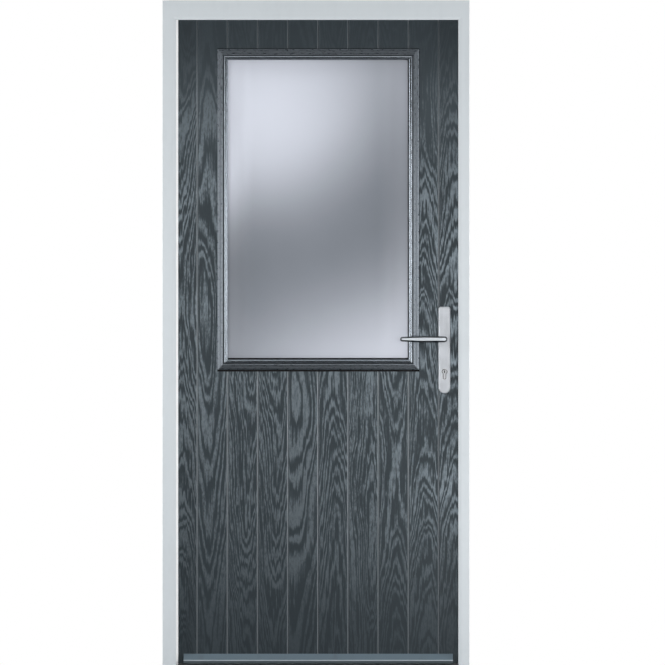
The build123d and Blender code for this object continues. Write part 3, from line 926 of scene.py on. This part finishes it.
@dataclass(frozen=True)
class CrossScrew:
    """A raised countersunk screw head with a cross recess."""

    radius: float
    rise: float = 0.5 * MM
    sunk: float = 0.6 * MM
    # Shares of the radius and of the rise.
    dome: tuple[Pair, ...] = ((1.0, 0.0), (0.9, 0.7), (0.74, 1.0))
    arm: float = 0.56
    slot: float = 0.2
    taper: float = 0.72
    depth: float = 1.3 * MM
    sides: int = 24
    twist: float = 2.4
    smooth: float = 25.0

    def form(self) -> Form:
        """Makes the head, its foot a little under the face it sits in.

        Returns:
            The head, facing up.
        """
        mesh = bmesh.new()
        loops = [self._circle(mesh, self.radius, -self.sunk)]
        loops += [self._circle(mesh, share * self.radius, lift * self.rise) for share, lift in self.dome]
        for low, high in zip(loops, loops[1:]):
            self._band(mesh, low, high)
        mouth = self._cross(mesh, 1.0, self.rise)
        floor = self._cross(mesh, self.taper, self.rise - self.depth)
        rim = self._edges(mesh, loops[-1]) + self._edges(mesh, mouth)
        bmesh.ops.triangle_fill(mesh, use_beauty=True, use_dissolve=False, edges=rim)
        self._band(mesh, mouth, floor)
        mesh.faces.new(floor)
        bmesh.ops.recalc_face_normals(mesh, faces=mesh.faces)
        mesh.verts.index_update()
        made = Form(
            [vertex.co.copy() for vertex in mesh.verts],
            [tuple(vertex.index for vertex in face.verts) for face in mesh.faces],
        )
        mesh.free()
        return made

    def _circle(self, mesh: bmesh.types.BMesh, radius: float, height: float) -> Loop:
        """A ring of points round the axis."""
        turns = (2 * math.pi * step / self.sides for step in range(self.sides))
        return [mesh.verts.new((radius * math.cos(turn), radius * math.sin(turn), height)) for turn in turns]

    def _cross(self, mesh: bmesh.types.BMesh, share: float, height: float) -> Loop:
        """The twelve corners of the cross at one height.

        Args:
            mesh: the head in the making.
            share: the cross's size there, as a share of its mouth.
            height: the height.

        Returns:
            The corners in order.
        """
        near, far = self.slot * self.radius * share, self.arm * self.radius * share
        corner = ((far, -near), (far, near), (near, near))
        points = []
        for quarter in range(4):
            turn = Matrix.Rotation(quarter * math.pi / 2, 2)
            points += [turn @ Vector(spot) for spot in corner]
        return [mesh.verts.new((point.x, point.y, height)) for point in points]

    @staticmethod
    def _band(mesh: bmesh.types.BMesh, low: Loop, high: Loop) -> None:
        """Adds the faces between two loops of as many points.

        Args:
            mesh: the head in the making.
            low: one loop.
            high: the other.
        """
        for step in range(len(low)):
            after = (step + 1) % len(low)
            mesh.faces.new((low[step], low[after], high[after], high[step]))

    @staticmethod
    def _edges(mesh: bmesh.types.BMesh, loop: Loop) -> list[bmesh.types.BMEdge]:
        """The edges along a loop, made where they are missing."""
        pairs = zip(loop, [*loop[1:], loop[0]])
        return [mesh.edges.get(pair) or mesh.edges.new(pair) for pair in pairs]


def dress(material: bpy.types.Material, nodes: Iterable[str]) -> None:
    """Gives CAD nodes a finish.

    Args:
        material: the finish.
        nodes: the names of the nodes.
    """
    for name in nodes:
        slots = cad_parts[name].data.materials
        slots.clear()
        slots.append(material)
        LOG.info("dressed %s in %s", name, material.name)


def screws(
    name: str,
    body: Body,
    head: CrossScrew,
    spots: Sequence[tuple[Vector, Vector]],
    material: bpy.types.Material,
    slot: Slot = Slot.SATIN_STEEL,
) -> None:
    """Sets a group of screw heads, each turned its own way.

    Args:
        name: the piece's name.
        body: the body it rides on.
        head: the screw head.
        spots: point and facing of each screw.
        material: the finish.
        slot: the slot of that finish.
    """
    single, group = head.form(), Form()
    for number, (at, facing) in enumerate(spots):
        group.stamp(single, standing(at, facing, head.twist * number))
    group.piece(name, body, slot, material, head.smooth)


@dataclass
class OuterFrame:
    """The fixed frame: jambs, head, threshold, seals, fire strips and keeps."""

    screw: CrossScrew = CrossScrew(3.6 * MM)
    keep_end: float = 14 * MM
    members: tuple[str, ...] = ("hinge_jamb", "lock_jamb", "head")
    upright_seals: tuple[str, ...] = ("hinge_seal", "lock_seal")
    fire_strips: tuple[str, ...] = ("hinge_fire_strip", "lock_fire_strip")
    keeps: tuple[str, ...] = ("centre_keep", "lower_keep", "upper_keep")

    def build(self, steel: bpy.types.Material) -> None:
        """Adds the screws of the keeps.

        Args:
            steel: the finish of the screws.
        """
        spots = []
        for keep in self.keeps:
            low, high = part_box(keep)
            middle = (low.y + high.y) / 2
            for z in (low.z + self.keep_end, high.z - self.keep_end):
                spots.append((Vector((low.x, middle, z)), Vector((-1, 0, 0))))
        screws("keep_screws", Body.FRAME, self.screw, spots, steel)

    def dress(self, steel: bpy.types.Material) -> None:
        """Gives each node its finish.

        Args:
            steel: the finish of the keeps.
        """
        dress(FrameFoil("frame_foil").material(), self.members)
        white, grey = (0.93, 0.935, 0.945), (0.89, 0.897, 0.908)
        dress(SoftStrip("white_seal_upright", white, grey, roughness=0.36).material(), self.upright_seals)
        level = SoftStrip("white_seal_level", white, grey, roughness=0.36, run=Axis.X)
        dress(level.material(), ("head_seal",))
        dark, darker = (0.1, 0.1, 0.108), (0.06, 0.06, 0.066)
        dress(SoftStrip("fire_strip_upright", dark, darker, roughness=0.75).material(), self.fire_strips)
        level = SoftStrip("fire_strip_level", dark, darker, roughness=0.75, run=Axis.X)
        dress(level.material(), ("head_fire_strip",))
        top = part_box("threshold")[1].z
        dress(TreadMetal("threshold_tread", top).material(), ("threshold",))
        pale, dusty = (0.68, 0.68, 0.7), (0.58, 0.58, 0.6)
        rubber = SoftStrip("sill_rubber", pale, dusty, roughness=0.6, run=Axis.X)
        dress(rubber.material(), ("threshold_seal",))
        dress(steel, self.keeps)


@dataclass
class Hinges:
    """Three hinges: plates let into the edges, interleaved knuckles, screws and pin caps."""

    screw: CrossScrew = CrossScrew(4.0 * MM)
    places: tuple[str, ...] = ("bottom", "middle", "top")
    # Two rows of screws: inset from the plate's edge, and reach from its middle.
    outer_rows: Pair = (11 * MM, 37 * MM)
    inner_rows: Pair = (21 * MM, 14 * MM)
    knuckle: float = 7 * MM
    # Radius and height of each ring, in mm.
    cap: tuple[Pair, ...] = ((5.4, 0.0), (5.4, 0.9), (4.9, 1.9), (3.6, 2.6), (1.8, 2.9), (0.0, 3.0))

    def build(self, steel: bpy.types.Material) -> None:
        """Adds the screws of both plates and the caps of the pins.

        Args:
            steel: the finish of both.
        """
        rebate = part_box("hinge_fire_strip")[1].x
        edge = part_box("outer_skin")[0].x
        on_frame, on_leaf, caps = [], [], Form()
        cap = lathe([(radius * MM, height * MM) for radius, height in self.cap])
        for place in self.places:
            low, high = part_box(f"{place}_hinge_frame_half")
            middle = (low.z + high.z) / 2
            for inset, reach in (self.outer_rows, self.inner_rows):
                for z in (middle - reach, middle + reach):
                    on_frame.append((Vector((rebate, low.y + inset, z)), Vector((1, 0, 0))))
                    on_leaf.append((Vector((edge, low.y + inset, z)), Vector((-1, 0, 0))))
            pin = Vector((high.x - self.knuckle, high.y - self.knuckle, 0))
            caps.stamp(cap, standing(pin + Vector((0, 0, high.z)), Vector((0, 0, 1))))
            caps.stamp(cap, standing(pin + Vector((0, 0, low.z)), Vector((0, 0, -1))))
        screws("hinge_screws_frame", Body.FRAME, self.screw, on_frame, steel)
        screws("hinge_screws_leaf", Body.LEAF, self.screw, on_leaf, steel)
        caps.piece("hinge_pin_caps", Body.FRAME, Slot.SATIN_STEEL, steel)

    def dress(self, steel: bpy.types.Material) -> None:
        """Gives both halves of each hinge their finish."""
        halves = ("frame_half", "leaf_half")
        dress(steel, [f"{place}_hinge_{half}" for place in self.places for half in halves])


@dataclass
class Leaf:
    """The leaf: moulded skins over a timber core, with the weather bar on its foot."""

    groove_pitch: float = 94.8 * MM
    bar_lip: float = 8 * MM
    bar_nose: float = 3 * MM
    skins: tuple[str, ...] = ("outer_skin", "inner_skin")
    stiles: tuple[str, ...] = ("hinge_stile", "lock_stile")
    rails: tuple[str, ...] = ("top_rail", "bottom_rail")
    infills: tuple[str, ...] = ("lower_infill", "hinge_side_infill", "lock_side_infill")

    def dress(self) -> None:
        """Gives each node its finish."""
        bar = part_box("weather_bar")[0]
        low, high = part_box("outer_cassette")
        mid_x = (low.x + high.x) / 2
        front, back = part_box("outer_skin")[0].y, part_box("inner_skin")[1].y
        skin = MouldedPlanks("moulded_planks", mid_x, self.groove_pitch, (front + back) / 2)
        dress(skin.material(), self.skins)
        edge, groove = (0.062, 0.071, 0.08), (0.035, 0.041, 0.047)
        dress(EdgeTimber("painted_edge_upright", edge, groove, roughness=0.45).material(), self.stiles)
        level = EdgeTimber("painted_edge_level", edge, groove, roughness=0.45, run=Axis.X)
        dress(level.material(), self.rails)
        core = EdgeTimber("raw_core", (0.5, 0.4, 0.28), (0.36, 0.27, 0.17), roughness=0.7)
        dress(core.material(), self.infills)
        nose = bar.z + self.bar_lip, bar.z + self.bar_lip + self.bar_nose
        dress(PaintedMetal("painted_bar", bar.y, nose).material(), ("weather_bar",))


@dataclass
class Glazing:
    """The glazed light: two moulded cassettes, a satin glass unit and the gaskets against it, widened in
    places as painted shade.
    """

    face: float = 32 * MM
    # Widths on the left, right, bottom and top. They are uneven and widest at the bottom, so the black rings
    # also stand as painted shade lines.
    gasket_and_shade_widths: Widths = (0.8 * MM, 3.2 * MM, 5.2 * MM, 1.0 * MM)
    gasket_rise: float = 2.6 * MM
    rim_seal_and_shadow_widths: Widths = (0.4 * MM, 1.8 * MM, 5.6 * MM, 2.6 * MM)
    rim_rise: float = 1.6 * MM
    cap_inset: float = 9 * MM
    cap_rise: float = 8.07 * MM
    cap_end: float = 70 * MM
    caps_up: int = 5
    caps_across: int = 3
    # Radius and height of each ring, in mm.
    cap: tuple[Pair, ...] = ((4.6, -1.6), (4.6, 0.5), (4.1, 1.2), (2.6, 1.7), (0.0, 1.9))

    def build(self, rubber: bpy.types.Material, moulding: bpy.types.Material) -> None:
        """Adds the gaskets and rim seals, widened in places as painted shade, and the screw caps of the inner
        cassette.

        Args:
            rubber: the black finish of the gaskets and rim seals.
            moulding: the finish of the caps.
        """
        for name, outward in (("outer", -1.0), ("inner", 1.0)):
            side = 0 if outward < 0 else 1
            low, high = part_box(f"{name}_cassette")
            inset = Vector((self.face, 0, self.face))
            glass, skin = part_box(f"{name}_pane")[side].y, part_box(f"{name}_skin")[side].y
            rise = outward * self.gasket_rise
            # Painted shade: each black ring is widest at the bottom, standing for shade lines as well as a
            # seal.
            gasket_and_shade = self._ring(low + inset, high - inset, glass, rise, self.gasket_and_shade_widths)
            gasket_and_shade.piece(f"{name}_gasket", Body.LEAF, Slot.BLACK_SEAL, rubber)
            outside = tuple(-width for width in self.rim_seal_and_shadow_widths)
            rim = self._ring(low, high, skin, outward * self.rim_rise, outside)
            rim.piece(f"{name}_rim_seal_and_shadow", Body.LEAF, Slot.BLACK_SEAL, rubber)
        low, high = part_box("inner_cassette")
        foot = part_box("inner_skin")[1].y + self.cap_rise
        single = lathe([(radius * MM, height * MM) for radius, height in self.cap])
        group = Form()
        for x, z in self._cap_spots(low, high):
            group.stamp(single, standing(Vector((x, foot, z)), Vector((0, 1, 0))))
        group.piece("cassette_screw_caps", Body.LEAF, Slot.CASSETTE, moulding)

    @staticmethod
    def _ring(low: Vector, high: Vector, foot: float, rise: float, widths: Widths) -> Form:
        """One mitred ring of soft seal along a rectangle.

        Args:
            low: the rectangle's lowest corner.
            high: its highest corner.
            foot: the face that the seal sits on, along y.
            rise: how far the seal stands off that face, with its sign.
            widths: how far it reaches inward on the left, right, bottom and top. Below 0 is outward.

        Returns:
            The ring.
        """
        section = ((-0.1, 0.0), (1.0, 0.0), (0.92, 0.55), (0.55, 0.9), (-0.1, 1.0))
        form = Form()
        for share, lift in section:
            left, right, bottom, top = (share * width for width in widths)
            x0, x1, z0, z1 = low.x + left, high.x - right, low.z + bottom, high.z - top
            corners = ((x0, z0), (x1, z0), (x1, z1), (x0, z1))
            form.points += [Vector((x, foot + lift * rise, z)) for x, z in corners]
        count = len(section)
        turned = (rise > 0) == (widths[0] > 0)
        for row in range(count):
            for corner in range(4):
                after, above = (corner + 1) % 4, (row + 1) % count
                face = (row * 4 + corner, row * 4 + after, above * 4 + after, above * 4 + corner)
                form.faces.append(face[::-1] if turned else face)
        return form

    def _cap_spots(self, low: Vector, high: Vector) -> list[Pair]:
        """Where the screw caps of the inner cassette sit.

        Args:
            low: the cassette's lowest corner.
            high: its highest corner.

        Returns:
            The x and z of each cap.
        """
        spots = []
        for number in range(self.caps_up):
            share = number / (self.caps_up - 1)
            z = low.z + self.cap_end + share * (high.z - low.z - 2 * self.cap_end)
            spots += [(low.x + self.cap_inset, z), (high.x - self.cap_inset, z)]
        for number in range(self.caps_across):
            share = (number + 0.5) / self.caps_across
            x = low.x + share * (high.x - low.x)
            spots += [(x, low.z + self.cap_inset), (x, high.z - self.cap_inset)]
        return spots

    def dress(self, moulding: bpy.types.Material) -> None:
        """Gives each node its finish.

        Args:
            moulding: the finish of the cassettes.
        """
        dress(moulding, ("outer_cassette", "inner_cassette"))
        low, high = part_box("outer_cassette")
        corners = (low.x + self.face, low.z + self.face), (high.x - self.face, high.z - self.face)
        dress(SatinGlass("satin_glass", *corners).material(), ("outer_pane", "inner_pane"))
        spacer = SoftStrip("spacer_bar", (0.2, 0.2, 0.21), (0.15, 0.15, 0.155), roughness=0.6)
        dress(spacer.material(), ("pane_spacer",))

    @staticmethod
    def moulding() -> bpy.types.Material:
        """Makes the finish of the cassettes and their caps.

        Returns:
            The material.
        """
        low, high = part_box("outer_cassette")
        middle = (low.x + high.x) / 2, (low.z + high.z) / 2
        return MouldedRails("moulded_rails", middle, (high.x - low.x, high.z - low.z)).material()


@dataclass
class LockEdge:
    """The lock edge: a long faceplate with its screws, and the bolts behind it."""

    screw: CrossScrew = CrossScrew(3.4 * MM)
    cylinder_screw: CrossScrew = CrossScrew(4.2 * MM)
    shares: tuple[float, ...] = (0.016, 0.16, 0.28, 0.4, 0.58, 0.7, 0.84, 0.984)

    def build(self, steel: bpy.types.Material) -> None:
        """Adds the faceplate's screws and the one that holds the cylinder.

        Args:
            steel: the finish of the screws.
        """
        low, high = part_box("lock_faceplate")
        middle, out = (low.y + high.y) / 2, Vector((1, 0, 0))
        heights = [low.z + share * (high.z - low.z) for share in self.shares]
        spots = [(Vector((high.x, middle, z)), out) for z in heights]
        screws("faceplate_screws", Body.LEAF, self.screw, spots, steel)
        low_plug, high_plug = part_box("cylinder_plugs")
        spot = Vector((high.x, middle, (low_plug.z + high_plug.z) / 2))
        screws("cylinder_screw", Body.LEAF, self.cylinder_screw, [(spot, out)], steel)

    def dress(self, steel: bpy.types.Material) -> None:
        """Gives the faceplate and the bolts their finish."""
        dress(steel, ("lock_faceplate", "lock_bolts"))


@dataclass
class Furniture:
    """Lever furniture: two long plates, two levers on one spindle, and the lock cylinder."""

    screw: CrossScrew = CrossScrew(3.8 * MM)
    screw_end: float = 16 * MM
    plate_rise: float = 10 * MM

    def build(self, satin: bpy.types.Material) -> None:
        """Adds the two screws of the inside plate.

        Args:
            satin: the finish of the screws.
        """
        low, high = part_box("inside_plate")
        low_plug, high_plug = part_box("cylinder_plugs")
        middle = (low_plug.x + high_plug.x) / 2
        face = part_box("inner_skin")[1].y + self.plate_rise
        heights = (low.z + self.screw_end, high.z - self.screw_end)
        spots = [(Vector((middle, face, z)), Vector((0, 1, 0))) for z in heights]
        screws("inside_plate_screws", Body.LEAF, self.screw, spots, satin, Slot.FURNITURE)

    def dress(self, satin: bpy.types.Material, steel: bpy.types.Material) -> None:
        """Gives each node its finish.

        Args:
            satin: the finish of the plates.
            steel: the finish of the spindle.
        """
        dress(satin, ("outside_plate", "inside_plate"))
        bright, worn = (0.49, 0.525, 0.556), (0.415, 0.447, 0.475)
        grip = GripMetal("satin_grip", bright, worn, roughness=0.32, run=Axis.X, marks=0.12)
        dress(grip.material(), ("outside_lever", "inside_lever"))
        dress(steel, ("spindle",))
        low, high = (corner.to_tuple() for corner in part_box("cylinder_body"))
        bright, worn = (0.5, 0.51, 0.525), (0.4, 0.408, 0.42)
        nickel = CylinderMetal("nickel", bright, worn, roughness=0.42, run=Axis.Y, low=low, high=high)
        dress(nickel.material(), ("cylinder_body", "cylinder_plugs"))


@dataclass(frozen=True)
class SoftBox:
    """One soft studio lamp."""

    name: str
    at: Point
    aim: Point
    size: Pair
    radiance: float

    def build(self) -> None:
        """Adds the lamp, out of the camera's sight."""
        lamp = bpy.data.lights.new(self.name, "AREA")
        lamp.shape = "RECTANGLE"
        lamp.size, lamp.size_y = self.size
        lamp.energy = self.radiance * math.pi * self.size[0] * self.size[1]
        made = bpy.data.objects.new(self.name, lamp)
        bpy.context.scene.collection.objects.link(made)
        made.location = self.at
        made.rotation_mode = "QUATERNION"
        made.rotation_quaternion = (Vector(self.aim) - Vector(self.at)).to_track_quat("-Z", "Y")
        made.visible_camera = False


@dataclass
class Studio:
    """Floor, light, white background and camera."""

    picture: float = 2.0888
    centre: Pair = (0.0518, 1.0566)
    distance: float = 40.0
    sight: float = 200.0
    sensor: float = 36.0
    floor_half: float = 60.0
    floor_colour: Colour = (0.78, 0.785, 0.79)
    floor_roughness: float = 0.8
    floor_gloss: float = 0.2
    floor_tooth: Lumps = Lumps((40.0, 40.0, 0.0), amount=0.1)
    # Where the floor keeps the shadow, ahead of the door and behind it.
    shadow_middle: float = -0.4
    shadow_half: Pair = (0.95, 0.55)
    shadow_edge: Fade = Fade(0.5, 1.0, 1.0, 0.0)
    behind_across: Fade = Fade(0.38, 0.47, 1.0, 0.0)
    behind_along: Fade = Fade(0.25, 0.8, 1.0, 0.0)
    # What mirrored rays see of the floor and of the world.
    mirrored_floor: Fade = Fade(-0.1, 0.3, 0.08, 1.0)
    overhead: Fade = Fade(0.3, 0.8, 1.0, 0.45)
    facing: Fade = Fade(0.2, 0.85, 1.0, 0.05)
    ambient: float = 0.37
    lamps: tuple[SoftBox, ...] = (
        SoftBox("front_left", (-0.8, -3.4, 1.36), (-0.3, 0.0, 1.25), (0.9, 0.7), 4.6),
        SoftBox("front_right", (0.8, -3.4, 1.18), (0.3, 0.0, 1.2), (0.9, 0.84), 4.4),
        SoftBox("low_box", (0.58, -1.6, 0.38), (0.45, 0.0, 0.38), (0.3, 0.42), 4.4),
        SoftBox("left_box", (-2.0, -2.9, 1.1), (0.0, 0.0, 1.1), (0.6, 1.2), 3.0),
        SoftBox("right_box", (2.0, -2.9, 1.05), (0.0, 0.0, 1.05), (0.6, 1.2), 3.2),
        SoftBox("left_strip", (-2.2, -0.7, 1.25), (0.0, 0.0, 1.2), (0.4, 1.4), 13.0),
        SoftBox("right_strip", (2.2, -0.62, 1.2), (0.0, 0.0, 1.15), (0.4, 1.4), 14.0),
        SoftBox("top_box", (0.0, -0.9, 4.0), (0.0, 0.0, 1.8), (1.6, 0.8), 3.0),
        SoftBox("back_box", (0.0, 3.4, 1.3), (0.0, 0.0, 1.15), (0.55, 1.1), 4.4),
        SoftBox("back_left", (-2.2, 2.2, 1.3), (0.0, 0.0, 1.1), (0.7, 1.6), 5.0),
        SoftBox("back_right", (2.2, 2.2, 1.2), (0.0, 0.0, 1.1), (0.7, 1.6), 6.0),
    )

    def build(self) -> None:
        """Makes the whole studio."""
        self._floor()
        self._world()
        for lamp in self.lamps:
            lamp.build()
        self._camera()
        bpy.context.scene.view_settings.view_transform = "Standard"

    def _floor(self) -> None:
        """A plain pale floor that keeps the shadow near the door and is white far off."""
        half = self.floor_half
        mesh = bpy.data.meshes.new("studio_floor")
        corners = [(-half, -half, 0), (half, -half, 0), (half, half, 0), (-half, half, 0)]
        mesh.from_pydata(corners, [], [(0, 1, 2, 3)])
        made = bpy.data.materials.new("studio_floor")
        made.use_nodes = True
        graph = Graph(made.node_tree)
        x, y, z = graph.place()
        aside, ahead = x / self.shadow_half[0], (y - self.shadow_middle) / self.shadow_half[1]
        shadow = (aside * aside + ahead * ahead).root().ramp(*self.shadow_edge)
        behind = abs(x).ramp(*self.behind_across) * abs(y).ramp(*self.behind_along)
        far = 1.0 - shadow.larger(behind)
        matt = graph.node(
            "ShaderNodeBsdfPrincipled",
            inputs={
                "Base Color": (*self.floor_colour, 1.0),
                "Roughness": self.floor_roughness + graph.noise(self.floor_tooth, (x, y, z)),
                "Specular IOR Level": self.floor_gloss,
            },
        )
        camera, glossy, through = self._rays(graph)
        bright = y.ramp(*self.mirrored_floor).larger(camera)
        white = graph.node("ShaderNodeEmission", inputs={"Color": WHITE, "Strength": bright})
        share = (far * camera.larger(through)).larger(glossy)
        shown = graph.node("ShaderNodeMixShader", inputs={0: share, 1: matt, 2: white})
        graph.node("ShaderNodeOutputMaterial", inputs={"Surface": shown})
        mesh.materials.append(made)
        floor = bpy.data.objects.new("studio_floor", mesh)
        bpy.context.scene.collection.objects.link(floor)

    @staticmethod
    def _rays(graph: Graph) -> tuple[Sock, Sock, Sock]:
        """Tells the kinds of rays apart.

        Args:
            graph: the graph that asks.

        Returns:
            1 for rays from the camera, for mirrored ones and for those through glass.
        """
        outputs = graph.node("ShaderNodeLightPath").socket.node.outputs
        kinds = ("Camera", "Glossy", "Transmission")
        camera, glossy, through = (Sock(graph, outputs[f"Is {kind} Ray"]) for kind in kinds)
        return camera, glossy, through

    def _world(self) -> None:
        """White to the eye, dimmer in mirrors overhead, ahead and behind, with a weak even light."""
        world = bpy.data.worlds.new("studio")
        bpy.context.scene.world = world
        world.use_nodes = True
        graph = Graph(world.node_tree)
        _, away, up = graph.split(graph.node("ShaderNodeTexCoord", out="Generated"))
        white = abs(up).ramp(*self.overhead) * abs(away).ramp(*self.facing)
        camera, glossy, through = self._rays(graph)
        seen = camera.larger(glossy).larger(through)
        strength = white.larger(camera) * seen + (1.0 - seen) * self.ambient
        shade = graph.node("ShaderNodeBackground", inputs={"Color": WHITE, "Strength": strength})
        graph.node("ShaderNodeOutputWorld", inputs={"Surface": shade})

    def _camera(self) -> None:
        """A long lens square on to the outside, framed as the photograph is."""
        lens = bpy.data.cameras.new("camera")
        lens.sensor_width = self.sensor
        lens.lens = self.sensor * self.distance / self.picture
        lens.clip_end = self.sight
        camera = bpy.data.objects.new("camera", lens)
        bpy.context.scene.collection.objects.link(camera)
        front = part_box("lock_jamb")[0].y
        camera.location = (self.centre[0], front - self.distance, self.centre[1])
        camera.rotation_euler = (math.pi / 2, 0.0, 0.0)
        bpy.context.scene.camera = camera


def main() -> None:
    """Builds and dresses each sub-assembly, then the studio."""
    logging.basicConfig(level=logging.INFO, format="%(name)s: %(message)s")
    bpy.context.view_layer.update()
    bright, worn = (0.6, 0.61, 0.62), (0.44, 0.445, 0.455)
    steel = BrushedMetal("satin_steel", bright, worn, roughness=0.34).material()
    bright, worn = (0.545, 0.57, 0.605), (0.445, 0.465, 0.495)
    satin = BrushedMetal("satin_plate", bright, worn, roughness=0.4, marks=0.1).material()
    black, dusty = (0.008, 0.008, 0.009), (0.014, 0.014, 0.015)
    rubber = SoftStrip("glazing_rubber", black, dusty, roughness=0.8, gloss=0.1).material()
    moulding = Glazing.moulding()
    outer_frame = OuterFrame()
    outer_frame.build(steel)
    outer_frame.dress(steel)
    hinges = Hinges()
    hinges.build(steel)
    hinges.dress(steel)
    Leaf().dress()
    glazing = Glazing()
    glazing.build(rubber, moulding)
    glazing.dress(moulding)
    lock_edge = LockEdge()
    lock_edge.build(steel)
    lock_edge.dress(steel)
    furniture = Furniture()
    furniture.build(satin)
    furniture.dress(satin, steel)
    Studio().build()


if __name__ == "__main__":
    main()
